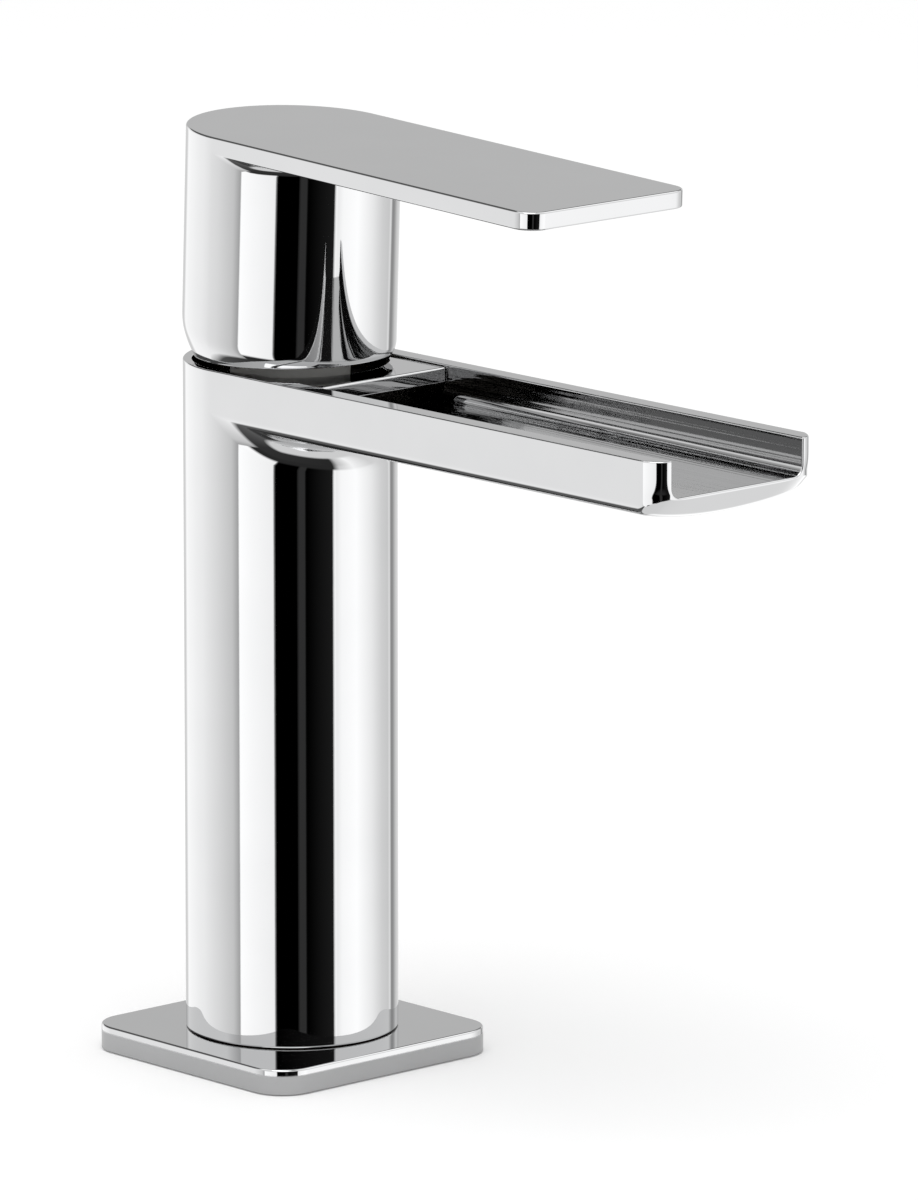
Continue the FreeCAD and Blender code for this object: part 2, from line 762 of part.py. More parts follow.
NODES = {
    "tap_body": tap_body,
    "base_plate": base_plate,
    "base_gasket": base_gasket,
    "plate_seal": plate_seal,
    "spout_deck": spout_deck,
    "deck_seal": deck_seal,
    "retaining_nut": retaining_nut,
    "cartridge_housing": cartridge_housing,
    "cartridge_base": cartridge_base,
    "base_seals": base_seals,
    "disc_seals": disc_seals,
    "fixed_disc": fixed_disc,
    "moving_disc": moving_disc,
    "disc_carrier": disc_carrier,
    "rotor": rotor,
    "rotor_glide": rotor_glide,
    "stop_ring": stop_ring,
    "pivot_pin": pivot_pin,
    "spindle": spindle,
    "handle": handle,
    "handle_screw": handle_screw,
    "screw_cap": screw_cap,
}

os.makedirs("parts", exist_ok=True)
for name, make in NODES.items():
    make().exportStep(os.path.join("parts", name + ".step"))
print("disc travel per radian of lift, mm:", round(-disc_travel / lift, 4))
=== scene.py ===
import math

import bmesh
import bpy
import numpy as np
from mathutils import Matrix, Vector
from mathutils.geometry import tessellate_polygon


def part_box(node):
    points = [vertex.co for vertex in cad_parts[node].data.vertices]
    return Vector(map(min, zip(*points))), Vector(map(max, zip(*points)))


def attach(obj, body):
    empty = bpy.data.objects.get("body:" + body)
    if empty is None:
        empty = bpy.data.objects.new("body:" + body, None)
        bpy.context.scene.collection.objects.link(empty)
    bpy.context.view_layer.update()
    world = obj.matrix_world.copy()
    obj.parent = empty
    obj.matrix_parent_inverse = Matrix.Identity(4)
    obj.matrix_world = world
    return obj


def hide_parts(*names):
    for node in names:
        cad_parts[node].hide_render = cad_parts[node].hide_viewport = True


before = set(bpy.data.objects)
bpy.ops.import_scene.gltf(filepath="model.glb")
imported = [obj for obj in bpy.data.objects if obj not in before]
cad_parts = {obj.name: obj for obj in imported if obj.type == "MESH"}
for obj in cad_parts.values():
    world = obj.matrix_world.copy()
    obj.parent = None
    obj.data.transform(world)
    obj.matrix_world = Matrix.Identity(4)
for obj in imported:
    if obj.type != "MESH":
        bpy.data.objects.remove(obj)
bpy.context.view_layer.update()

# Chrome basin tap with an open trough spout, in metres.
# +Z is up, the spout points to -Y, and the origin is the middle of the base plate's underside.

body_low, body_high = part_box("tap_body")
plate_low, plate_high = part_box("base_plate")
deck_low, deck_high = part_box("spout_deck")

# Column and its foot
column_radius = body_high.x
plate_top = plate_high.z
foot_edge = 0.0005
spigot_radius = 0.0172
hollow_radius = 0.0158
hollow_top = 0.058
inlet_radius = 0.00446
inlet_top = 0.070
inlet_place = (0.0062, -0.003)
stud_radius = 0.00332
stud_top = 0.074
stud_y = 0.0095

# Spout and trough
rim_z = body_high.z
rim_edge = 0.00028
spout_reach = -body_low.y
spout_height = 0.0123
underside_z = rim_z - spout_height
underside_crown = 0.0024
underside_corner = 0.0024
root_fillet = 0.0068
trough_wall = 0.0039
trough_half = column_radius - trough_wall
trough_corner = 0.002
trough_depth = 0.007
trough_floor = rim_z - trough_depth
trough_fall = 0.0006
lip_edge = 0.0003
lip_height = 0.0005

# Front corners in plan, as arcs from the side to the front. Each has the two directions in degrees between
# which its outward side turns, and its radius. Towards the chin the corners are drawn in by up to the tuck.
corner_arcs = [(20, 40, 0.00775), (40, 72, 0.0033), (72, 90, 0.0025)]
corner_tuck = 0.00035
tuck_depth = 0.003
tuck_top = rim_z - tuck_depth
tuck_height = 0.0032

# Chin under the lip: its slope from level, how far its upper line rises at the corners and with which power
# of X, the round below it, and how far along the spokes the crease may step from one spoke to the next
chin_slope = math.radians(45)
chin_smile = 0.0025
chin_smile_power = 8
chin_round = 0.003
crease_drift = 0.1

# Recess behind the cover and the cartridge's seat
recess_wall = 0.0017
recess_radius = column_radius - recess_wall
recess_depth = 0.006
recess_floor = rim_z - recess_depth
recess_y = -math.sqrt(recess_radius ** 2 - trough_half ** 2)
deck_seal_height = 0.0005
shelf_z = deck_low.z - deck_seal_height
seat_radius = 0.014
seat_step_z = 0.1185
seat_end_radius = 0.0126
seat_end_z = 0.1105
seat_profile = [(seat_radius, recess_floor), (seat_radius, seat_step_z), (seat_end_radius, seat_step_z),
                (seat_end_radius, seat_end_z)]

# Plate and cover
plate_half = plate_high.x
plate_corner = 0.007
plate_edge = 0.0004
plate_foot_edge = 0.0002
plate_hole = 0.0173
deck_edge = 0.0004
deck_foot_edge = 0.0002
deck_plan_corner = 0.0005
deck_heel = 0.0006

# Lever and its block, drawn level and then tipped about the pin
pivot_z = 0.143
rest_pitch = math.radians(2.16)
lever_rise = 0.03329
lever_top = pivot_z + lever_rise
lever_reach = 0.086
lever_thickness = 0.0034
lever_corner = 0.004
lever_edge = 0.0004
lever_fillet = 0.0025
block_ball = 0.02082
block_wall = 0.0009
block_offset = 0.0008
block_slope = -0.06
block_gap = 0.0009
block_middle_z = rim_z + block_gap
block_edge = 0.0003
block_softness = 0.0003
block_blend = 0.004
block_hollow = 0.017
block_ceiling = 0.1565

# Plug over the set screw, with the share of its radius that is flat and how far its soft edge falls
cap_z = 0.162
cap_radius = 0.0031
cap_rise = 0.00015
cap_depth = 0.001
cap_flat = 0.9
cap_softness = 0.2

# Share of the plating's polish: outside, inside the trough, and where the casting is bare. Below one the
# colour turns towards the near-black bare colour, which paints shade in the trough, the slot, the recess and
# the line at the column's foot
outside_plating = 1.0
trough_polish_and_shade = 0.75
bare_and_shaded_plating = 0.0

# Mesh fineness and joins
edge_steps = 6
side_steps = 4
nook_steps = 8
corner_steps = 20
plan_steps = 24
underside_steps = 44
round_steps = 64
half_round_steps = 72
weld_distance = 1e-6
crease_angle = math.radians(19)


def line(start, end, steps):
    """Even steps from start to end, both included."""
    return np.linspace(start, end, steps + 1)


def points(x, y, z):
    """One array of points out of arrays that spread over each other."""
    return np.stack(np.broadcast_arrays(x, y, z), axis=-1)


def closed(loop):
    """A loop whose first row is repeated at its end."""
    return np.concatenate([loop, loop[:1]])


def circle(radius, z, x=0.0, y=0.0):
    """Level circle of points round an upright axis."""
    angle = line(0, 2 * math.pi, round_steps)[:-1]
    return points(x + radius * np.cos(angle), y + radius * np.sin(angle), z)


class Skin:
    """Patches of points that are welded along their shared edges into one closed mesh."""

    def __init__(self):
        self.points = []
        self.faces = []
        self.plating_and_shade = []
        self.plated = outside_plating
        self.count = 0

    def add(self, patch, faces):
        """Points and the faces between them, with the plating that is set at the time."""
        self.points.append(patch.reshape(-1, 3))
        self.faces.extend((faces + self.count).tolist())
        self.plating_and_shade.extend([self.plated] * len(faces))
        self.count += patch.size // 3

    def grid(self, patch):
        """Quads between the neighbouring rows and columns of a grid of points."""
        rows, columns = patch.shape[:2]
        index = np.arange(rows * columns).reshape(rows, columns)
        quads = [index[:-1, :-1], index[1:, :-1], index[1:, 1:], index[:-1, 1:]]
        self.add(patch, np.stack(quads, axis=-1).reshape(-1, 4))

    def flat(self, *loops):
        """Triangles that fill a flat outline. Every loop after the first is a hole in it."""
        triangles = tessellate_polygon([loop.tolist() for loop in loops])
        self.add(np.concatenate(loops), np.array(triangles))

    def well(self, profile, x=0.0, y=0.0):
        """Round blind hole: a profile of radius and height turned round an axis, with a flat end."""
        turned = np.stack([closed(circle(radius, z, x, y)) for radius, z in profile])
        self.grid(turned)
        self.flat(turned[-1][:-1])

    def build(self, name, turn=None):
        """The welded mesh as an object, with smooth faces and sharp creases."""
        place = np.concatenate(self.points)
        if turn is not None:
            place = turn(place)
        mesh = bpy.data.meshes.new(name)
        mesh.from_pydata(place.tolist(), [], self.faces)
        mesh.attributes.new("plating_and_shade", "FLOAT", "FACE").data.foreach_set("value", self.plating_and_shade)
        work = bmesh.new()
        work.from_mesh(mesh)
        bmesh.ops.remove_doubles(work, verts=work.verts, dist=weld_distance)
        bmesh.ops.dissolve_degenerate(work, edges=work.edges, dist=weld_distance)
        bmesh.ops.recalc_face_normals(work, faces=work.faces)
        work.to_mesh(mesh)
        work.free()
        mesh.shade_smooth()
        mesh.set_sharp_from_angle(angle=crease_angle)
        piece = bpy.data.objects.new(name, mesh)
        bpy.context.scene.collection.objects.link(piece)
        even = piece.modifiers.new("even_normals", "WEIGHTED_NORMAL")
        even.keep_sharp = True
        return piece


def rounded_rim(loop, normals, z, edge, upward):
    """Quarter round along a level loop: from the loop's side face over onto the flat above or below.
    A point goes in by edge (1 - cos a) and up or down by edge sin a."""
    angle = line(0, math.pi / 2, edge_steps)
    inset = edge * (1 - np.cos(angle))
    rise = edge * np.sin(angle) * upward
    flat = loop[:, None, :] - normals[:, None, :] * inset[None, :, None]
    return points(flat[..., 0], flat[..., 1], z + rise[None, :])


def lower_outline(half_width, low_z, crown, corner, bend_steps, middle_steps):
    """Outline of an underside across X, with its outward normals: a corner arc, a middle that is flat or
    bows down by crown, and the other corner arc. The normal turns from -90 to 90 degrees from straight
    down."""
    corner_x = half_width - corner
    if crown > 0:
        bow = (half_width ** 2 + crown ** 2) / (2 * crown)
        bow_z = low_z + bow
        corner_z = bow_z - math.sqrt((bow - corner) ** 2 - corner_x ** 2)
        lean = math.atan2(corner_x, bow_z - corner_z)
        middle = line(-lean, lean, middle_steps)
        middle_x = bow * np.sin(middle)
        middle_z = bow_z - bow * np.cos(middle)
    else:
        corner_z = low_z + corner
        lean = 0.0
        middle = np.zeros(middle_steps + 1)
        middle_x = line(-corner_x, corner_x, middle_steps)
        middle_z = np.full(middle_steps + 1, low_z)
    turn = line(-math.pi / 2, -lean, bend_steps)[:-1]
    side_x = -corner_x + corner * np.sin(turn)
    side_z = corner_z - corner * np.cos(turn)
    angle = np.concatenate([turn, middle, -turn[::-1]])
    x = np.concatenate([side_x, middle_x, -side_x[::-1]])
    z = np.concatenate([side_z, middle_z, side_z[::-1]])
    return x, z, np.sin(angle), -np.cos(angle)


def rolled_fillet(outline, radius, fillet, steps):
    """Fillet between a round post and the underside of an arm. A ball rolls in the corner: its middle is the
    outline moved out along its normal, at the post's radius plus its own from the axis. The fillet is the
    ball's arc from where it touches the post to where it touches the underside."""
    x, z, normal_x, normal_z = outline
    reach = radius + fillet
    middle_x = x + fillet * normal_x
    middle_y = -np.sqrt(np.maximum(reach ** 2 - middle_x ** 2, 0))
    middle = points(middle_x, middle_y, z + fillet * normal_z)
    to_post = points(middle_x, middle_y, 0) * (-fillet / reach)
    to_arm = points(normal_x, 0, normal_z) * -fillet
    spread = np.arccos(np.clip(np.sum(to_post * to_arm, axis=1) / fillet ** 2, -1, 1))
    safe = np.maximum(spread, weld_distance)[:, None]
    share = line(0, 1, steps)[None, :]
    near = np.sin((1 - share) * safe) / np.sin(safe)
    far = np.sin(share * safe) / np.sin(safe)
    return middle[:, None] + near[..., None] * to_post[:, None] + far[..., None] * to_arm[:, None]


def corner_plan():
    """Round front corner in plan, from the side to the front, as arcs that follow each other. An arc steps
    inwards by its radius times the fall of the cosine of its turn, and forwards by its radius times the rise
    of the sine. Returns how far each point lies from the tap's middle and how far behind the front."""
    inward = [np.zeros(1)]
    forward = [np.zeros(1)]
    for first, last, radius in corner_arcs:
        turn = np.radians(line(first, last, plan_steps))
        inward.append(inward[-1][-1] + radius * (np.cos(turn[0]) - np.cos(turn[1:])))
        forward.append(forward[-1][-1] + radius * (np.sin(turn[1:]) - np.sin(turn[0])))
    inward = np.concatenate(inward)
    forward = np.concatenate(forward)
    return column_radius - inward[::-1], forward[-1] - forward[::-1]


plan_x, plan_depth = corner_plan()
underside = lower_outline(column_radius, underside_z, underside_crown, underside_corner,
                          corner_steps, underside_steps)
half_under_x, half_under_z = [row[len(row) // 2:] for row in underside[:2]]


def chin_line(x):
    """Height at which the chin starts: level in the middle, and rising to the corners with a power of X."""
    return trough_floor - lip_height + chin_smile * (np.abs(x) / column_radius) ** chin_smile_power


def front_depths(x, z):
    """How far two surfaces lie behind the spout's front, over X and Z. The first follows the corners' plan,
    drawn in a little towards the chin's line. The second is the chin: it slopes back evenly below the line,
    and last it turns in an arc onto the underside."""
    width = np.abs(x)
    plan = np.interp(width, plan_x, plan_depth)
    across = np.clip((width - plan_x[0]) / (plan_x[-1] - plan_x[0]), 0, 1)
    tuck = corner_tuck * np.clip((tuck_top - z) / tuck_height, 0, 1) ** 2 * np.sin(math.pi * across)
    under = np.interp(width, half_under_x, half_under_z)
    arc_height = chin_round * (1 - math.cos(chin_slope))
    rise = np.clip(z - under, 0, arc_height)
    drop = np.maximum(chin_line(x) - np.maximum(z, under + arc_height), 0)
    turn_in = chin_round * math.sin(chin_slope) - np.sqrt(2 * chin_round * rise - rise ** 2)
    return plan + tuck, drop / math.tan(chin_slope) + turn_in


def spout_front(x, z):
    """Y of the spout's front skin over X and Z: the deeper one of the corners' plan and the chin."""
    return -spout_reach + np.maximum(*front_depths(x, z))


def trough_level(y):
    """Height of the trough's floor, which falls evenly to just behind the lip's round."""
    run = np.maximum(y + spout_reach - 2 * lip_edge, 0)
    return trough_floor + trough_fall * run / (spout_reach - 2 * lip_edge - column_radius)


def stretch(x, y, normal_x, normal_y):
    """Level points and their outward normals."""
    place = np.stack(np.broadcast_arrays(x, y), axis=-1).astype(float)
    normal = np.stack(np.broadcast_arrays(normal_x, normal_y), axis=-1).astype(float)
    return place, np.broadcast_to(normal, place.shape).copy()


def arc(x, y, radius, turn, facing=1):
    """Stretch round a point in plan, whose normals point away from it, or towards it where facing is -1."""
    out_x = np.cos(turn)
    out_y = np.sin(turn)
    return stretch(x + radius * out_x, y + radius * out_y, facing * out_x, facing * out_y)


def chain(*stretches):
    """One closed loop and its normals out of stretches that each start where the last one ends."""
    loop = np.concatenate([place[:-1] for place, _ in stretches])
    normals = np.concatenate([normal[:-1] for _, normal in stretches])
    return loop, normals


def mitre(first, second):
    """Direction at a corner along which two edges are drawn in evenly: the sum of their outward directions,
    divided by one plus their dot product."""
    return (first + second) / (1 + np.dot(first, second))


def mirrored(part):
    """A stretch on the other side of the tap's middle, run the other way."""
    place, normal = part
    flip = np.array([-1.0, 1.0])
    return place[::-1] * flip, normal[::-1] * flip


def tap_body_skin():
    """Column and spout: the underside's outline is carried along the spout and down the column, the sides and
    the back stand upright, and the front is a skin of spokes from the trough's outline to the spout's."""
    skin = Skin()
    wall_steps = 12
    low_wall_steps = 3
    drop_steps = 8
    bend_steps = corner_steps + drop_steps
    front_steps = 24
    near_steps = 12
    trough_steps = 60
    nook_end = trough_steps + nook_steps + 1
    fillet_steps = 20
    upright_steps = 48
    recess_steps = 96
    bay_steps = 48
    low_steps = 2
    search_rounds = 40
    top_z = rim_z - rim_edge
    foot_z = plate_top + foot_edge
    x, z, _, _ = underside
    side_z = z[0]
    corner_y = plan_depth[-1] - spout_reach
    trough_end = -column_radius
    side_y = np.concatenate([line(corner_y, trough_end, trough_steps),
                             line(trough_end, recess_y, nook_steps)[1:],
                             line(recess_y, 0, nook_steps)[1:]])

    # Underside, root fillet and the column's front
    fillet = rolled_fillet(underside, column_radius, root_fillet, fillet_steps)
    skin.grid(fillet)
    root = fillet[:, -1, 1]
    ends = spout_front(x, z)
    run = side_y[::-1] / corner_y
    skin.grid(points(x[:, None], root[:, None] + (ends - root)[:, None] * run, z[:, None]))
    rise = line(0, 1, upright_steps)
    touch = fillet[:, 0]
    skin.grid(points(touch[:, :1], touch[:, 1:2], foot_z + (touch[:, 2:] - foot_z) * rise))

    # The column's back and the upright sides
    rear = arc(0, 0, column_radius, line(math.pi, 0, half_round_steps))
    back_x, back_y = rear[0].T
    skin.grid(points(back_x[:, None], back_y[:, None], foot_z + (side_z - foot_z) * rise))
    floor_end = trough_level(trough_end)
    shelf_share = (top_z - shelf_z) / (top_z - floor_end - trough_corner)
    wall = np.concatenate([line(0, shelf_share, wall_steps), line(shelf_share, 1, low_wall_steps)[1:]])
    drop_top = chin_line(column_radius)
    wall_z = top_z + (drop_top - top_z) * wall
    drop_z = line(drop_top, side_z, drop_steps)
    upright_z = np.concatenate([wall_z, drop_z[1:]])
    side_end = spout_front(column_radius, upright_z)
    for way in (-1, 1):
        skin.grid(points(way * column_radius, side_y[:, None] / corner_y * side_end, upright_z))
    skin.grid(points(back_x[:, None], back_y[:, None], upright_z))
    side = stretch(-column_radius, side_y, -1, 0)

    # Outline of the trough with the direction into the metal, from one wall's top to the other's
    quarter = line(0, math.pi / 2, bend_steps)
    floor_x = line(-(trough_half - trough_corner), trough_half - trough_corner, underside_steps)
    bend_x = -(trough_half - trough_corner) - trough_corner * np.cos(quarter)
    left_x = np.concatenate([np.full(len(wall) - 1, -trough_half), bend_x[:-1]])
    into_x = np.concatenate([np.full(len(wall) - 1, -1.0), -np.cos(quarter)[:-1]])
    into_z = np.concatenate([np.zeros(len(wall) - 1), -np.sin(quarter)[:-1]])
    inner_x = np.concatenate([left_x, floor_x, -left_x[::-1]])
    metal_x = np.concatenate([into_x, np.zeros(len(floor_x)), -into_x[::-1]])
    metal_z = np.concatenate([into_z, np.full(len(floor_x), -1.0), into_z[::-1]])
    share = np.concatenate([wall[:-1], np.ones(2 * bend_steps + len(floor_x)), wall[-2::-1]])
    bend = np.sin(quarter)[:-1]
    flat_wall = np.zeros(len(wall) - 1)
    dip = np.concatenate([flat_wall, bend, np.ones(len(floor_x)), bend[::-1], flat_wall])

    def trough_heights(level):
        """Heights along the trough's outline, for the floor's level at each place."""
        return top_z + (level + trough_corner - top_z) * share[:, None] - trough_corner * dip[:, None]

    # Front skin. Along each spoke a search by halves finds the crease, where the chin takes over.
    inner_z = trough_heights(trough_floor)[:, 0]
    upright_end = np.full(len(upright_z) - 1, column_radius)
    outer_x = np.concatenate([-upright_end, x, upright_end])
    outer_z = np.concatenate([upright_z[:-1], z, upright_z[-2::-1]])
    start_x = inner_x + lip_edge * metal_x
    start_z = inner_z + lip_edge * metal_z
    span_x = outer_x - start_x
    span_z = outer_z - start_z
    above = np.zeros(len(start_x))
    below = np.ones(len(start_x))
    for _ in range(search_rounds):
        middle = (above + below) / 2
        plan, chin = front_depths(start_x + span_x * middle, start_z + span_z * middle)
        over = plan >= chin
        above = np.where(over, middle, above)
        below = np.where(over, below, middle)
    spokes = np.arange(len(below))
    crease = np.min(below + crease_drift * np.abs(spokes[:, None] - spokes), axis=1)[:, None]
    ease = np.sin(line(0, math.pi / 2, front_steps))
    spoke = np.concatenate([crease * ease, crease + (1 - crease) * ease[1:]], axis=1)
    front_x = start_x[:, None] + span_x[:, None] * spoke
    front_z = start_z[:, None] + span_z[:, None] * spoke
    front_y = spout_front(front_x, front_z)
    skin.grid(points(front_x, front_y, front_z))

    # Small round between the front skin and the trough
    lip_y = front_y[:, 0]
    angle = line(0, math.pi / 2, edge_steps)
    lip_inset = lip_edge * (1 - np.sin(angle))
    lip_round_x = inner_x[:, None] + metal_x[:, None] * lip_inset
    lip_round_y = lip_y[:, None] + lip_edge * (1 - np.cos(angle))
    skin.grid(points(lip_round_x, lip_round_y, inner_z[:, None] + metal_z[:, None] * lip_inset))

    # Trough, from the lip to the wall under the cover
    first = lip_y + lip_edge
    near_y = first[:, None] + (corner_y - first)[:, None] * line(0, 1, near_steps)
    far_y = np.broadcast_to(side_y[1:trough_steps + 1], (len(first), trough_steps))
    trough_y = np.concatenate([near_y, far_y], axis=1)
    trough = points(inner_x[:, None], trough_y, trough_heights(trough_level(trough_y)))
    covered = np.searchsorted(trough_y[0], deck_low.y)
    # Inside the trough the colour is darkened partway to the near-black bare colour as painted shade, with
    # rougher polish and the polishing lines
    skin.plated = trough_polish_and_shade
    skin.grid(trough[:, :covered + 1])
    # Under the cover the trough takes the near-black bare colour, a painted shade in the slot
    skin.plated = bare_and_shaded_plating
    skin.grid(trough[:, covered:])
    skin.flat(trough[wall_steps:len(inner_x) - wall_steps, -1])
    skin.plated = outside_plating

    # Rounded rim along the walls, the back and the recess, with the flat on top
    front_row = np.stack([front_x[0], front_y[0]], axis=-1)[:front_steps + 1]
    front_way = np.gradient(front_row, axis=0)
    front_out = np.stack([-front_way[:, 1], front_way[:, 0]], axis=-1)
    front_out = front_out / np.linalg.norm(front_out, axis=1)[:, None]
    corner_out = mitre(front_out[-1], side[1][-1])
    from_corner = np.linalg.norm(front_row - front_row[-1], axis=1)[:, None]
    front_out = corner_out + (front_out - corner_out) * np.clip(from_corner / rim_edge, 0, 1)
    side[1][0] = corner_out
    lip_row = stretch(lip_round_x[0][::-1], lip_round_y[0][::-1], np.sin(angle)[::-1], -np.cos(angle)[::-1])
    wing = (front_row, front_out)
    inner_y = np.concatenate([trough_y[0], side_y[trough_steps + 1:nook_end]])
    inner_wall = stretch(-trough_half, inner_y[::-1], 1, 0)
    turn = math.atan2(recess_y, trough_half)
    bowl = arc(0, 0, recess_radius, line(turn, math.pi - turn, recess_steps), -1)
    inner_wall[1][0] = mitre(bowl[1][-1], inner_wall[1][0])
    bowl[1][0] = mirrored(inner_wall)[1][-1]
    loop, normals = chain(lip_row, wing, side, rear, mirrored(side), mirrored(wing), mirrored(lip_row),
                          mirrored(inner_wall), bowl, inner_wall)
    rim = rounded_rim(loop, normals, top_z, rim_edge, 1)
    skin.grid(closed(rim))
    skin.flat(rim[:, -1])

    # Walls, shelf and floor of the recess, and the seat below it, all without plating, in the near-black bare
    # colour that is partly bare casting and partly painted shade seen through the gap under the block
    skin.plated = bare_and_shaded_plating
    nook_y = side_y[trough_steps:nook_end]
    nook_z = line(top_z, shelf_z, wall_steps)
    low_z = line(shelf_z, recess_floor, low_steps)
    for way in (-1, 1):
        skin.grid(points(way * trough_half, nook_y[:, None], nook_z))
    bowl_x, bowl_y = bowl[0].T
    skin.grid(points(bowl_x[:, None], bowl_y[:, None], np.concatenate([nook_z, low_z[1:]])))
    bay_x, bay_y = arc(0, 0, recess_radius, line(-math.pi - turn, turn, bay_steps))[0].T
    skin.grid(points(bay_x[:, None], bay_y[:, None], low_z))
    nook_x = np.full(len(nook_y), trough_half)
    shelf_x = np.concatenate([-nook_x, bay_x[1:-1], nook_x])
    shelf_y = np.concatenate([nook_y, bay_y[1:-1], nook_y[::-1]])
    skin.flat(points(shelf_x, shelf_y, shelf_z))
    round_x = np.concatenate([bowl_x, bay_x[1:-1]])
    round_y = np.concatenate([bowl_y, bay_y[1:-1]])
    skin.flat(points(round_x, round_y, recess_floor), circle(*seat_profile[0]))
    skin.well(seat_profile)

    # Foot, whose round is bare below its top third so that its near-black colour paints a shadow line against
    # the plate, and the spigot and the hollow with its threads, which are bare again
    skin.plated = outside_plating
    ring = np.concatenate([touch[:, :2], rear[0][-2:0:-1]]) / column_radius
    foot_plated = edge_steps // 3
    foot_round = line(0, math.pi / 2, edge_steps)
    foot_radius = column_radius - foot_edge * (1 - np.cos(foot_round))
    spigot = [spigot_radius, spigot_radius, hollow_radius, hollow_radius]
    profile_radius = np.concatenate([foot_radius, spigot])
    profile_z = np.concatenate([foot_z - foot_edge * np.sin(foot_round), [plate_top, 0, 0, hollow_top]])
    foot = points(ring[:, :1] * profile_radius, ring[:, 1:] * profile_radius, profile_z)
    skin.grid(closed(foot[:, :foot_plated + 1]))
    # Painted shadow line: the lower part of the foot's round takes the near-black bare colour
    skin.plated = bare_and_shaded_plating
    skin.grid(closed(foot[:, foot_plated:]))
    threads = [(inlet_radius, inlet_top, -inlet_place[0], inlet_place[1]),
               (inlet_radius, inlet_top, inlet_place[0], inlet_place[1]),
               (stud_radius, stud_top, 0.0, stud_y)]
    mouths = [circle(radius, hollow_top, place_x, place_y) for radius, _, place_x, place_y in threads]
    skin.flat(foot[:, -1], *mouths)
    for radius, end_z, place_x, place_y in threads:
        skin.well([(radius, hollow_top), (radius, end_z)], place_x, place_y)
    return skin.build("tap_body_skin")


def lever_plan(side_y):
    """Plan of the lever as four stretches: the left side from back to front, the nose with its two round
    corners, the right side, and the half circle behind."""
    nose_corner_steps = 16
    nose_steps = 24
    corner_x = column_radius - lever_corner
    left = stretch(-column_radius, side_y[::-1], -1, 0)
    bend = arc(-corner_x, lever_corner - lever_reach, lever_corner,
               line(math.pi, 1.5 * math.pi, nose_corner_steps))
    front = stretch(line(-corner_x, corner_x, nose_steps), -lever_reach, 0, -1)
    behind = arc(0, 0, column_radius, line(0, math.pi, half_round_steps))
    other_bend = mirrored(bend)
    rows = zip(chain(bend, front, other_bend), other_bend)
    nose = [np.concatenate([row, last[-1:]]) for row, last in rows]
    return left, nose, mirrored(left), behind


def block_radius(way_y, z, ball):
    """Distance of the block's wall from the axis, by how far its direction points to the back: the column's
    radius, or less below the pin, where a ball that sits a little in front of the axis rounds the wall off.
    The two blend softly away from the pin's level."""
    drop = np.minimum(z - pivot_z, 0)
    shift = -block_offset * way_y
    reach = shift + np.sqrt(np.maximum(ball ** 2 - drop ** 2 - block_offset ** 2 * (1 - way_y ** 2), 0))
    soft = block_softness * np.clip(-drop / block_blend, 0, 1)
    blend = np.maximum(soft - np.abs(reach - column_radius), 0)
    return np.minimum(reach, column_radius) - blend ** 2 / (4 * soft + weld_distance)


def tipped(place):
    """Points of the level lever, tipped forward about the pin."""
    y = place[:, 1]
    z = place[:, 2] - pivot_z
    turned_y = y * math.cos(rest_pitch) - z * math.sin(rest_pitch)
    turned_z = y * math.sin(rest_pitch) + z * math.cos(rest_pitch)
    return points(place[:, 0], turned_y, turned_z + pivot_z)


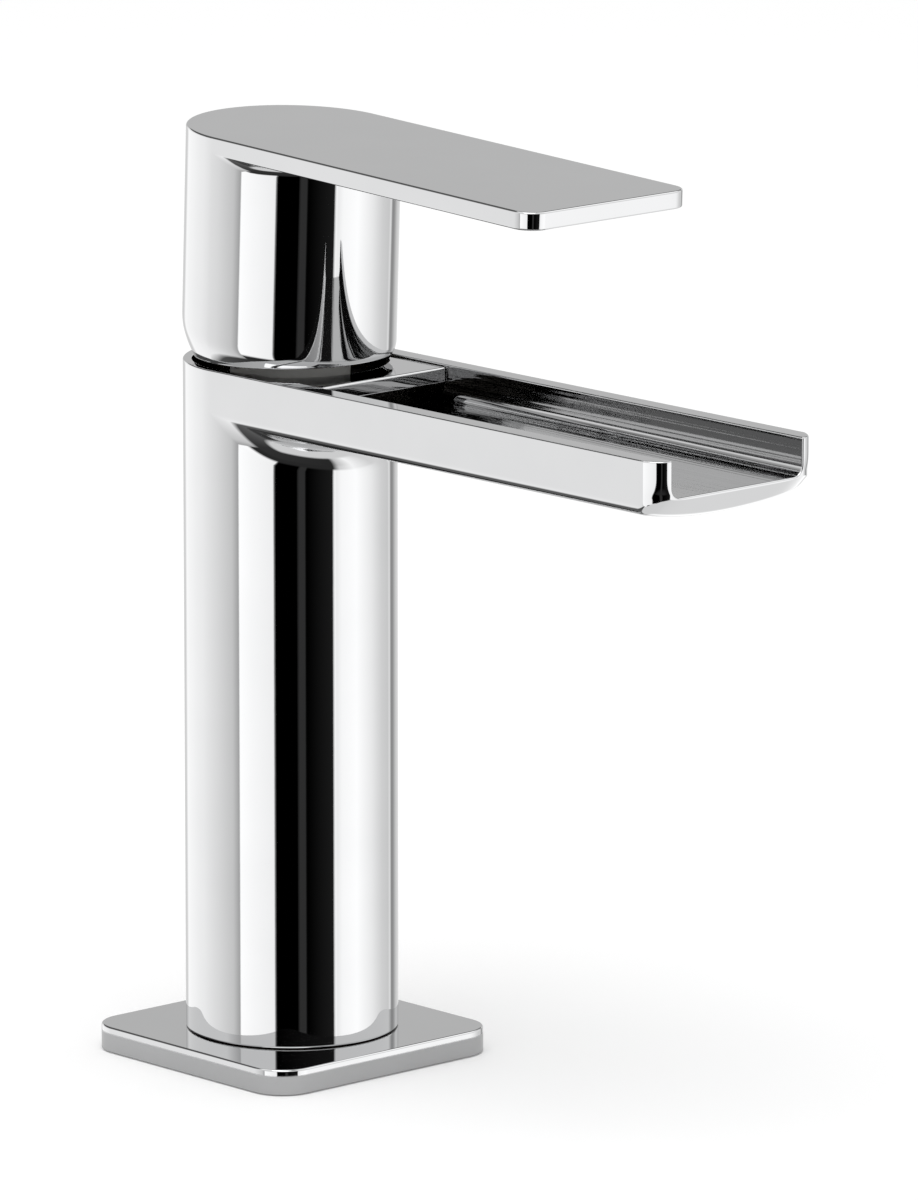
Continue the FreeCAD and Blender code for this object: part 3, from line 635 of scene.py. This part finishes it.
def handle_skin():
    """Lever and block: the plan's loop carries the lever's edges, a rolled fillet joins its underside to the
    block, and the block's wall runs down to a slanted lower end with a hollow inside."""
    skin = Skin()
    long_steps = 48
    middle_steps = 60
    fillet_steps = 12
    wall_steps = 40
    wall_gathering = 1.5
    mouth_steps = 12
    settling_rounds = 4
    under_z = lever_top - lever_thickness
    side_low = under_z + lever_edge
    side_high = lever_top - lever_edge
    corner_y = lever_corner - lever_reach
    side_y = line(corner_y, 0, long_steps)
    left, nose, right, behind = lever_plan(side_y)

    # Sides and top of the lever
    loop, normals = chain(left, nose, right, behind)
    skin.grid(closed(points(loop[:, :1], loop[:, 1:], line(side_low, side_high, side_steps))))
    crest = rounded_rim(loop, normals, side_high, lever_edge, 1)
    skin.grid(closed(crest))
    skin.flat(crest[:, -1])

    # Underside with its edges, and the fillet to the block
    lower = rounded_rim(*nose, side_low, lever_edge, -1)
    fold = lower_outline(column_radius, under_z, 0, lever_edge, edge_steps, middle_steps)
    fillet = rolled_fillet(fold, column_radius, lever_fillet, fillet_steps)
    skin.grid(lower)
    skin.grid(fillet)
    x, z, _, _ = fold
    root = fillet[:, -1, 1]
    run = side_y[::-1] / corner_y
    strips = points(x[:, None], root[:, None] + (corner_y - root)[:, None] * run, z[:, None])
    skin.grid(strips[:edge_steps + 1])
    skin.grid(strips[-edge_steps - 1:])
    touch_arm = fillet[edge_steps:-edge_steps, -1]
    skin.flat(np.concatenate([strips[edge_steps], lower[1:-1, -1], strips[-edge_steps - 1][::-1],
                              touch_arm[-2:0:-1]]))

    # Wall of the block, its lower edge and the hollow
    touch = fillet[:, 0]
    rear = behind[0][1:-1]
    top_z = np.concatenate([touch[:, 2], np.full(len(rear), side_low)])[:, None]
    ring = np.concatenate([touch[:, :2], rear])
    way = ring / np.linalg.norm(ring, axis=1)[:, None]
    way_x = way[:, :1]
    way_y = way[:, 1:]
    end = np.full_like(way_x, column_radius)
    for _ in range(settling_rounds):
        end_z = block_middle_z + block_slope * end * way_y
        end = block_radius(way_y, end_z, block_ball)
    share = 1 - line(1, 0, wall_steps) ** wall_gathering
    wall_z = top_z + (end_z + block_edge - top_z) * share
    wall = block_radius(way_y, wall_z, block_ball)
    bend = line(0, math.pi / 2, edge_steps)
    lip = wall[:, -1:] - block_edge * (1 - np.cos(bend))
    lip_z = end_z + block_edge * (1 - np.sin(bend))
    mouth_z = end_z + (pivot_z - end_z) * line(0, 1, mouth_steps)
    mouth = np.minimum(block_radius(way_y, mouth_z, block_ball - block_wall), block_hollow)
    mouth = np.minimum(mouth, lip[:, -1:] - block_edge / 2)
    hollow = np.full_like(way_x, block_hollow)
    radius = np.concatenate([wall, lip[:, 1:], mouth, hollow], axis=1)
    height = np.concatenate([wall_z, lip_z[:, 1:], mouth_z, np.full_like(way_x, block_ceiling)], axis=1)
    block = points(way_x * radius, way_y * radius, height)
    skin.grid(closed(block))
    skin.flat(block[:, -1])
    return skin.build("handle_skin", tipped)


def slab(skin, loop, normals, low, high, low_edge, high_edge, *holes):
    """Plate with a level outline: a small round below, an upright side, a round above and flat faces."""
    hole_steps = 2
    foot = rounded_rim(loop, normals, low + low_edge, low_edge, -1)
    crest = rounded_rim(loop, normals, high - high_edge, high_edge, 1)
    side = points(loop[:, :1], loop[:, 1:], line(low + low_edge, high - high_edge, side_steps))
    for patch in (foot, side, crest):
        skin.grid(closed(patch))
    for face, z in ((foot, low), (crest, high)):
        skin.flat(face[:, -1], *[points(hole[:, 0], hole[:, 1], z) for hole in holes])
    for hole in holes:
        skin.grid(closed(points(hole[:, :1], hole[:, 1:2], line(low, high, hole_steps))))


def base_plate_skin():
    """Square plate: four straight sides, four round corners, and a round hole for the column's spigot."""
    skin = Skin()
    corner = plate_half - plate_corner
    bends = []
    for quarter, (way_x, way_y) in enumerate([(1, 1), (-1, 1), (-1, -1), (1, -1)]):
        turn = line(quarter * math.pi / 2, (quarter + 1) * math.pi / 2, corner_steps)
        bends.append(arc(way_x * corner, way_y * corner, plate_corner, turn))
    loop, normals = [np.concatenate(rows) for rows in zip(*bends)]
    slab(skin, loop, normals, plate_low.z, plate_high.z, plate_foot_edge, plate_edge, circle(plate_hole, 0.0))
    return skin.build("base_plate_skin")


def deck_skin():
    """Cover over the back of the trough: a straight front with softened corners, and a back that is hollowed
    to follow the recess, with a round heel at each end."""
    skin = Skin()
    long_steps = 12
    front_steps = 24
    hollow_steps = 40
    half = deck_high.x
    front_y = deck_low.y
    follow = recess_radius + (trough_half - half) * 2
    inner = half - deck_plan_corner
    bend_y = front_y + deck_plan_corner
    bend = arc(-inner, bend_y, deck_plan_corner, line(math.pi, 1.5 * math.pi, edge_steps))
    heel_x = deck_heel - half
    heel_y = -math.sqrt((follow + deck_heel) ** 2 - heel_x ** 2)
    sweep = math.atan2(-heel_y, -heel_x)
    heel = arc(heel_x, heel_y, deck_heel, line(sweep, math.pi, 2 * edge_steps))
    left = stretch(-half, line(heel_y, bend_y, long_steps), -1, 0)
    front = stretch(line(-inner, inner, front_steps), front_y, 0, -1)
    hollow = arc(0, 0, follow, line(-sweep, sweep - math.pi, hollow_steps), -1)
    loop, normals = chain(left, bend, front, mirrored(bend), mirrored(left), mirrored(heel), hollow, heel)
    slab(skin, loop, normals, deck_low.z, deck_high.z, deck_foot_edge, deck_edge)
    return skin.build("spout_deck_skin")


def screw_cap_skin():
    """Plug in the back of the block: a disc bent to the block's round, a little proud, with a soft edge."""
    skin = Skin()
    turn_steps = 48
    flat_steps = 8
    slope_steps = 10
    depth_steps = 2
    angle = line(0, 2 * math.pi, turn_steps)[:, None]
    slope = line(0, math.pi / 2, slope_steps)
    fall = (cap_rise + cap_depth) * (1 - np.cos(slope)) * cap_softness
    flat = line(0, 1, flat_steps)[:-1] * cap_flat
    out = cap_radius * np.concatenate([flat, cap_flat + (1 - cap_flat) * np.sin(slope)])
    rise = np.concatenate([np.full(flat_steps, cap_rise), cap_rise - fall])
    disc_x = out * np.cos(angle)
    disc_z = cap_z + out * np.sin(angle)
    wall_y = np.sqrt(column_radius ** 2 - disc_x ** 2)
    depth = rise[-1] - cap_depth * line(0, 1, depth_steps)
    skin.grid(points(disc_x, wall_y + rise, disc_z))
    skin.grid(points(disc_x[:, -1:], wall_y[:, -1:] + depth, disc_z[:, -1:]))
    skin.grid(points(disc_x, wall_y + depth[-1], disc_z)[:, ::-1])
    return skin.build("screw_cap_skin", tipped)


# Sockets of a mix node for colours, which has others with the same names
mix_first = 6
mix_second = 7
mix_result = 2

# Depth of the polishing lines, roughness without plating, and height of the unevenness
streak_strength = 0.28
bare_roughness = 0.16
bump_height = 0.0002


def node(tree, kind, **settings):
    """One shader node. A setting that names an attribute goes there, any other to the input of that name."""
    made = tree.nodes.new(kind)
    for name, value in settings.items():
        if hasattr(made, name):
            setattr(made, name, value)
        else:
            made.inputs[name.replace("_", " ")].default_value = value
    return made


def grey(level):
    """Colour without a hue."""
    return (level, level, level)


def colour_mix(tree, first, second):
    """Mix node between two colours."""
    mix = node(tree, "ShaderNodeMix", data_type="RGBA")
    mix.inputs[mix_first].default_value = (*first, 1)
    mix.inputs[mix_second].default_value = (*second, 1)
    return mix


def group_ends(tree, inputs, outputs):
    """Sockets of a node group, from names and default values. Returns its input and output nodes."""
    for name, value in inputs.items():
        socket = tree.interface.new_socket(name, in_out="INPUT", socket_type="NodeSocketFloat")
        socket.default_value = value
    for name, kind in outputs.items():
        tree.interface.new_socket(name, in_out="OUTPUT", socket_type=kind)
    return tree.nodes.new("NodeGroupInput"), tree.nodes.new("NodeGroupOutput")


def surface_drift():
    """Node group: slow drift and fine grain over a surface, as two masks and a gently uneven normal."""
    tree = bpy.data.node_groups.new("surface_drift", "ShaderNodeTree")
    outputs = {"Drift": "NodeSocketFloat", "Grain": "NodeSocketFloat", "Normal": "NodeSocketVector"}
    start, end = group_ends(tree, {"Drift Scale": 40.0, "Grain Scale": 900.0, "Unevenness": 0.02}, outputs)
    place = node(tree, "ShaderNodeTexCoord")
    drift = node(tree, "ShaderNodeTexNoise", Detail=3.0, Roughness=0.55)
    grain = node(tree, "ShaderNodeTexNoise", Detail=5.0, Roughness=0.6)
    bump = node(tree, "ShaderNodeBump", Distance=bump_height)
    link = tree.links.new
    for noise, scale in ((drift, "Drift Scale"), (grain, "Grain Scale")):
        link(place.outputs["Object"], noise.inputs["Vector"])
        link(start.outputs[scale], noise.inputs["Scale"])
    link(start.outputs["Unevenness"], bump.inputs["Strength"])
    link(grain.outputs["Fac"], bump.inputs["Height"])
    link(drift.outputs["Fac"], end.inputs["Drift"])
    link(grain.outputs["Fac"], end.inputs["Grain"])
    link(bump.outputs["Normal"], end.inputs["Normal"])
    return tree


def polishing_streaks():
    """Node group: fine lines along Y, as left by polishing inside a channel, as one mask."""
    tree = bpy.data.node_groups.new("polishing_streaks", "ShaderNodeTree")
    start, end = group_ends(tree, {"Lines": 1000.0, "Length": 5.0}, {"Streaks": "NodeSocketFloat"})
    place = node(tree, "ShaderNodeTexCoord")
    stretch_by = node(tree, "ShaderNodeCombineXYZ")
    stretched = node(tree, "ShaderNodeVectorMath", operation="MULTIPLY")
    noise = node(tree, "ShaderNodeTexNoise", Scale=1.0, Detail=1.5, Roughness=0.5)
    link = tree.links.new
    for axis, source in (("X", "Lines"), ("Y", "Length"), ("Z", "Lines")):
        link(start.outputs[source], stretch_by.inputs[axis])
    link(place.outputs["Object"], stretched.inputs[0])
    link(stretch_by.outputs["Vector"], stretched.inputs[1])
    link(stretched.outputs["Vector"], noise.inputs["Vector"])
    link(noise.outputs["Fac"], end.inputs["Streaks"])
    return tree


drift_group = surface_drift()
streak_group = polishing_streaks()


def cleared_tree(owner):
    """Empty node tree of a material or a world."""
    owner.use_nodes = True
    owner.node_tree.nodes.clear()
    return owner.node_tree


def finish_material(name, dark, light, smooth, rough, drift_scale, grain_scale, unevenness, metallic,
                    bare_and_shade=None):
    """Material whose colour drifts between two tones and whose roughness follows the grain between two
    values. Where the bare colour is given, faces without plating have that near-black colour, which is partly
    bare casting and partly painted shade, and the bare roughness instead, and faces with the trough's plating
    are darkened partway towards it as painted shade and have the polishing lines."""
    material = bpy.data.materials.new(name)
    tree = cleared_tree(material)
    drift = node(tree, "ShaderNodeGroup", node_tree=drift_group, Drift_Scale=drift_scale,
                 Grain_Scale=grain_scale, Unevenness=unevenness)
    tone = colour_mix(tree, dark, light)
    gloss = node(tree, "ShaderNodeMapRange", From_Min=0.3, From_Max=0.7, To_Min=smooth, To_Max=rough)
    skin = node(tree, "ShaderNodeBsdfPrincipled", Metallic=metallic)
    end = node(tree, "ShaderNodeOutputMaterial")
    link = tree.links.new
    link(drift.outputs["Drift"], tone.inputs["Factor"])
    link(drift.outputs["Grain"], gloss.inputs["Value"])
    colour = tone.outputs[mix_result]
    roughness = gloss.outputs["Result"]
    normal = drift.outputs["Normal"]
    if bare_and_shade:
        plating_and_shade = node(tree, "ShaderNodeAttribute", attribute_name="plating_and_shade")
        cover_and_shade = colour_mix(tree, bare_and_shade, bare_and_shade)
        dull = node(tree, "ShaderNodeMapRange", To_Min=bare_roughness)
        link(plating_and_shade.outputs["Fac"], cover_and_shade.inputs["Factor"])
        link(colour, cover_and_shade.inputs[mix_second])
        link(plating_and_shade.outputs["Fac"], dull.inputs["Value"])
        link(roughness, dull.inputs["To Max"])
        colour = cover_and_shade.outputs[mix_result]
        roughness = dull.outputs["Result"]
        streaks = node(tree, "ShaderNodeGroup", node_tree=streak_group)
        worked = node(tree, "ShaderNodeMapRange", From_Min=outside_plating, From_Max=trough_polish_and_shade,
                      To_Max=streak_strength)
        lines = node(tree, "ShaderNodeBump", Distance=bump_height)
        link(plating_and_shade.outputs["Fac"], worked.inputs["Value"])
        link(worked.outputs["Result"], lines.inputs["Strength"])
        link(streaks.outputs["Streaks"], lines.inputs["Height"])
        link(normal, lines.inputs["Normal"])
        normal = lines.outputs["Normal"]
    link(colour, skin.inputs["Base Color"])
    link(roughness, skin.inputs["Roughness"])
    link(normal, skin.inputs["Normal"])
    link(skin.outputs["BSDF"], end.inputs["Surface"])
    return material


# Finishes by slot. Each has a dark and a light tone, the least and the most roughness, the scales of the
# drift and of the grain, the unevenness and whether it is a metal.
chrome_look = ((0.580, 0.583, 0.588), (0.618, 0.620, 0.624), 0.012, 0.035, 60.0, 700.0, 0.004, 1.0)
# Near-black colour of the bare casting, which also stands as painted shade in the slot, the recess and the
# line at the column's foot
bare_casting_and_shade = (0.045, 0.042, 0.038)
chrome_slots = ["chrome_body", "chrome_plate", "chrome_deck", "chrome_handle"]
plug_look = (grey(0.22), grey(0.28), 0.35, 0.5, 90.0, 2000.0, 0.1, 0.0)
finishes = {slot: finish_material(slot, *chrome_look, bare_and_shade=bare_casting_and_shade) for slot in chrome_slots}
finishes["grey_plastic"] = finish_material("grey_plastic", *plug_look)

# The visible castings and the plug, as smooth skins. The imported pieces inside keep the materials they came
# with from model.glb.
castings = [
    (tap_body_skin(), "tap_body", "stand", "chrome_body"),
    (base_plate_skin(), "base_plate", "stand", "chrome_plate"),
    (deck_skin(), "spout_deck", "stand", "chrome_deck"),
    (handle_skin(), "handle", "lever", "chrome_handle"),
    (screw_cap_skin(), "screw_cap", "lever", "grey_plastic"),
]
for piece, cad_node, body, finish in castings:
    piece.data.materials.append(finishes[finish])
    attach(piece, body)
    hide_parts(cad_node)

# Camera, as the photograph was taken: a long lens from the front left, a little above
camera_place = Vector((-1.36810, -1.54627, 0.52156))
camera_right = Vector((0.73877, -0.67395, 0.0)).normalized()
camera_back = Vector((-0.65945, -0.72288, 0.20632)).normalized()
camera_up = camera_back.cross(camera_right)
camera_data = bpy.data.cameras.new("camera")
camera_data.lens = 338.75
camera_data.sensor_width = 36.0
camera_data.clip_end = 50.0
camera = bpy.data.objects.new("camera", camera_data)
camera.matrix_world = Matrix((camera_right, camera_up, camera_back)).transposed().to_4x4()
camera.location = camera_place
bpy.context.scene.collection.objects.link(camera)
bpy.context.scene.camera = camera

# Floor: half width and height, its grey and the grey in reflections, its own light for the camera, and how
# far from the metal reflections show it
floor_half = 8.0
floor_z = -0.0002
floor_paper = grey(0.86)
floor_mirrored = grey(0.68)
floor_glow = 0.12
floor_reach = 0.0150
floor_fade = 0.0015

# Light: the plain white all round, the brightest soft box in reflections, and the lamp above
plain_level = 0.92
soft_box_level = 1.66
lamp_size = 1.6
lamp_power = 14.0
lamp_place = Vector((-0.6, -0.5, 2.2))
lamp_aim = Vector((0, 0, 0.08))

# Rows that reflections see, each as degrees round the tap and shares of the soft boxes' light
left_stops = [(-180, 0.46), (-158, 0.48), (-150, 0.83), (-131, 0.85), (-110, 0.815), (-86, 0.68),
              (-65.5, 0.54), (-57.5, 0.34)]
front_stops = [(-56.6, 1.0), (-41, 0.93), (-18.2, 0.855), (-16.6, 0.0), (7.6, 0.0), (9.0, 0.026),
               (15.6, 0.026), (17.0, 0.0), (47.2, 0.01), (48.2, 0.98), (51, 0.82), (57, 0.93)]
right_stops = [(76, 0.99), (98, 0.80), (106.5, 0.70), (116, 0.605), (130, 0.54), (134, 0.70), (138, 0.235),
               (143, 0.235), (154, 0.47), (180, 0.55)]
table_stops = [*left_stops, *front_stops, *right_stops]
apron_stops = [*left_stops, (-56.6, 0.02), (48, 0.02), (56, 0.6), (76, 0.9), (105, 0.62), (150, 0.62),
               (165, 0.95), (180, 0.62)]
ground_stops = [(-180, 0.45), (-168, 0.45), (-160, 0.12), (-115, 0.08), (-60, 0.03), (48, 0.02), (56, 0.5),
                (76, 0.9), (105, 0.62), (150, 0.62), (165, 0.95), (180, 0.5)]
deep_stops = [(-180, 0.6), (180, 0.6)]
wall_stops = [(-180, 0.375), (-165, 0.375), (-150, 0.75), (-75, 0.75), (-57.5, 0.44), (-56.6, 0.7),
              (-18.2, 0.7), (-16.6, 0.0), (47.2, 0.01), (48.2, 0.7), (130, 0.7), (138, 0.3), (143, 0.3),
              (154, 0.6), (162, 0.5), (168, 0.375), (180, 0.375)]
high_stops = [(-180, 0.08), (-105, 0.08), (-95, 0.5), (-55, 0.6), (130, 0.6), (150, 0.3), (165, 0.08),
              (180, 0.08)]
edge_stops = [(-180, 0.08), (-105, 0.08), (-95, 0.5), (-55, 0.6), (92, 0.6), (98, 1.0), (130, 1.0),
              (150, 0.3), (165, 0.08), (180, 0.08)]
top_stops = [(-180, 0.6), (-140, 0.6), (-132, 1.0), (-98, 1.0), (-90, 0.6), (92, 0.6), (98, 1.0), (132, 1.0),
             (140, 0.6), (180, 0.6)]
overhead_stops = [(-180, 0.6), (180, 0.6)]

# The rows from below upwards, with the heights in degrees between which a row takes over from the last one
studio_rows = [(-90, -90, deep_stops), (-64, -58, ground_stops), (-40, -34, apron_stops),
               (-28, -22, table_stops), (-4, 6, wall_stops), (17, 21, high_stops), (34, 38, edge_stops),
               (50, 56, top_stops), (70, 76, overhead_stops)]


def floor():
    """Plain white floor: a matt sheet that keeps the shadow, with a little light of its own for the camera,
    so that it reads as white paper. Reflections show it close to the metal, and else the studio's rows."""
    sheet_x, sheet_y = np.meshgrid([-floor_half, floor_half], [-floor_half, floor_half])
    mesh = bpy.data.meshes.new("floor")
    mesh.from_pydata(points(sheet_x, sheet_y, floor_z).reshape(-1, 3).tolist(), [], [(0, 1, 3, 2)])
    sheet = bpy.data.objects.new("floor", mesh)
    bpy.context.scene.collection.objects.link(sheet)
    material = bpy.data.materials.new("floor_paper")
    tree = cleared_tree(material)
    paper = colour_mix(tree, floor_paper, floor_mirrored)
    matt = node(tree, "ShaderNodeBsdfDiffuse")
    glow = node(tree, "ShaderNodeEmission", Color=(1, 1, 1, 1))
    path = node(tree, "ShaderNodeLightPath")
    level = node(tree, "ShaderNodeMath", operation="MULTIPLY")
    level.inputs[1].default_value = floor_glow
    total = node(tree, "ShaderNodeAddShader")
    far = node(tree, "ShaderNodeMapRange", From_Min=floor_reach, From_Max=floor_reach + floor_fade)
    passing = node(tree, "ShaderNodeMath", operation="MULTIPLY")
    clear = node(tree, "ShaderNodeBsdfTransparent")
    either = node(tree, "ShaderNodeMixShader")
    end = node(tree, "ShaderNodeOutputMaterial")
    link = tree.links.new
    link(path.outputs["Is Glossy Ray"], paper.inputs["Factor"])
    link(paper.outputs[mix_result], matt.inputs["Color"])
    link(path.outputs["Is Camera Ray"], level.inputs[0])
    link(level.outputs[0], glow.inputs["Strength"])
    link(matt.outputs[0], total.inputs[0])
    link(glow.outputs[0], total.inputs[1])
    link(path.outputs["Ray Length"], far.inputs["Value"])
    link(far.outputs["Result"], passing.inputs[0])
    link(path.outputs["Is Glossy Ray"], passing.inputs[1])
    link(passing.outputs[0], either.inputs[0])
    link(total.outputs[0], either.inputs[1])
    link(clear.outputs[0], either.inputs[2])
    link(either.outputs[0], end.inputs["Surface"])
    sheet.data.materials.append(material)


def row_ramp(tree, turn, stops):
    """Brightness by the direction round the tap: degrees from the camera, positive to the right of the
    picture, and the share of the soft boxes' light there."""
    share = node(tree, "ShaderNodeMapRange", From_Min=-math.pi, From_Max=math.pi)
    ramp = node(tree, "ShaderNodeValToRGB")
    elements = ramp.color_ramp.elements
    elements.remove(elements[1])
    elements[0].position = 0.0
    elements[0].color = (*grey(stops[0][1]), 1)
    for degrees, level in stops[1:]:
        stop = elements.new((degrees + 180.0) / 360.0)
        stop.color = (*grey(level), 1)
    tree.links.new(turn.outputs[0], share.inputs["Value"])
    tree.links.new(share.outputs["Result"], ramp.inputs["Fac"])
    return ramp.outputs["Color"]


def studio():
    """Light all round the tap. The camera and matt surfaces see plain white. Reflections see the studio's
    rows of white boxes, grey paper and black cloths, from below the table to overhead."""
    world = bpy.data.worlds.new("studio")
    tree = cleared_tree(world)
    link = tree.links.new
    way = node(tree, "ShaderNodeTexCoord")
    height = node(tree, "ShaderNodeSeparateXYZ")
    across = node(tree, "ShaderNodeVectorMath", operation="DOT_PRODUCT")
    across.inputs[1].default_value = camera_right
    along = node(tree, "ShaderNodeVectorMath", operation="DOT_PRODUCT")
    along.inputs[1].default_value = Vector((camera_back.x, camera_back.y, 0)).normalized()
    turn = node(tree, "ShaderNodeMath", operation="ARCTAN2")
    for part in (height, across, along):
        link(way.outputs["Generated"], part.inputs[0])
    link(across.outputs["Value"], turn.inputs[0])
    link(along.outputs["Value"], turn.inputs[1])
    light = row_ramp(tree, turn, studio_rows[0][2])
    for start, end, stops in studio_rows[1:]:
        share = node(tree, "ShaderNodeMapRange", From_Min=math.sin(math.radians(start)),
                     From_Max=math.sin(math.radians(end)))
        mix = colour_mix(tree, grey(0.0), grey(0.0))
        link(height.outputs["Z"], share.inputs["Value"])
        link(share.outputs["Result"], mix.inputs["Factor"])
        link(light, mix.inputs[mix_first])
        link(row_ramp(tree, turn, stops), mix.inputs[mix_second])
        light = mix.outputs[mix_result]
    boxes = node(tree, "ShaderNodeBackground", Strength=soft_box_level)
    plain = node(tree, "ShaderNodeBackground", Color=(1, 1, 1, 1), Strength=plain_level)
    path = node(tree, "ShaderNodeLightPath")
    mirrored_ray = node(tree, "ShaderNodeMath", operation="MAXIMUM")
    both = node(tree, "ShaderNodeMixShader")
    end = node(tree, "ShaderNodeOutputWorld")
    link(light, boxes.inputs["Color"])
    link(path.outputs["Is Glossy Ray"], mirrored_ray.inputs[0])
    link(path.outputs["Is Transmission Ray"], mirrored_ray.inputs[1])
    link(mirrored_ray.outputs[0], both.inputs[0])
    link(plain.outputs[0], both.inputs[1])
    link(boxes.outputs[0], both.inputs[2])
    link(both.outputs[0], end.inputs["Surface"])
    bpy.context.scene.world = world


floor()
studio()
lamp_data = bpy.data.lights.new("soft_box", "AREA")
lamp_data.shape = "SQUARE"
lamp_data.size = lamp_size
lamp_data.energy = lamp_power
lamp = bpy.data.objects.new("soft_box", lamp_data)
lamp.location = lamp_place
lamp.rotation_euler = (lamp_aim - lamp_place).to_track_quat("-Z", "Y").to_euler()
bpy.context.scene.collection.objects.link(lamp)
bpy.context.scene.view_settings.view_transform = "Standard"

bpy.context.view_layer.update()
